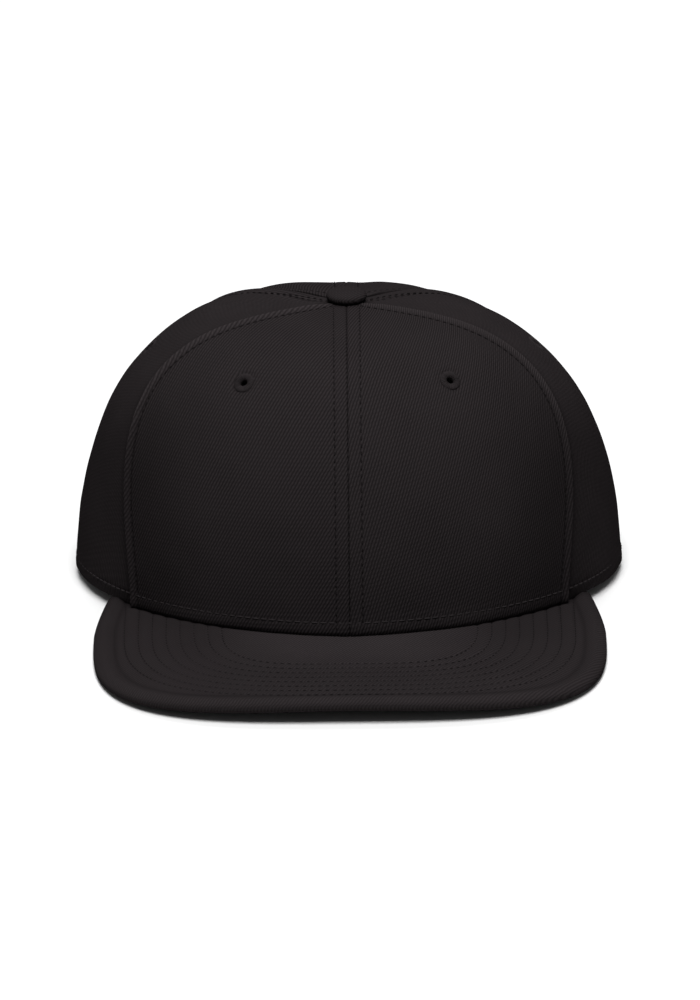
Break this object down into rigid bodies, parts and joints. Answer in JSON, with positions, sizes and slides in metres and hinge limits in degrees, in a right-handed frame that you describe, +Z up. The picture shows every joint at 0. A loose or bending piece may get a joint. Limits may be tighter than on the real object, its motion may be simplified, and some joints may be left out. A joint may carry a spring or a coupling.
{
  "type": "snapback cap",
  "caption": "Black twill snapback cap with a tall structured front, covered button, sewn eyelets, flat stitched peak and an adjustable plastic snap strap below an arched back opening.",
  "frame": {"origin": "on the surface that the cap lies on, under the middle of its length and width", "axes": "+Z up, -Y towards the peak's front edge, +X to the right as seen from the front"},
  "size_m": [0.202, 0.26, 0.114],
  "materials": {
    "crown_twill": "black wool-blend twill",
    "button_twill": "black twill drawn over a button",
    "peak_twill": "black twill over a stiff board, sewn in rows",
    "eyelet_thread": "black satin-stitched thread",
    "band_cloth": "plain black cotton",
    "strap_plastic": "satin black moulded plastic"
  },
  "bodies": {
    "root": {"front_panel_left": "crown_twill", "front_panel_right": "crown_twill", "side_panel_left": "crown_twill", "side_panel_right": "crown_twill", "back_panel_left": "crown_twill", "back_panel_right": "crown_twill", "eyelet_front_left": "eyelet_thread", "eyelet_front_right": "eyelet_thread", "eyelet_side_left": "eyelet_thread", "eyelet_side_right": "eyelet_thread", "eyelet_back_left": "eyelet_thread", "eyelet_back_right": "eyelet_thread", "top_button": "button_twill", "peak": "peak_twill", "sweatband": "band_cloth", "snap_strap_studs": "strap_plastic", "snap_strap_holes": "strap_plastic"}
  },
  "joints": []
}
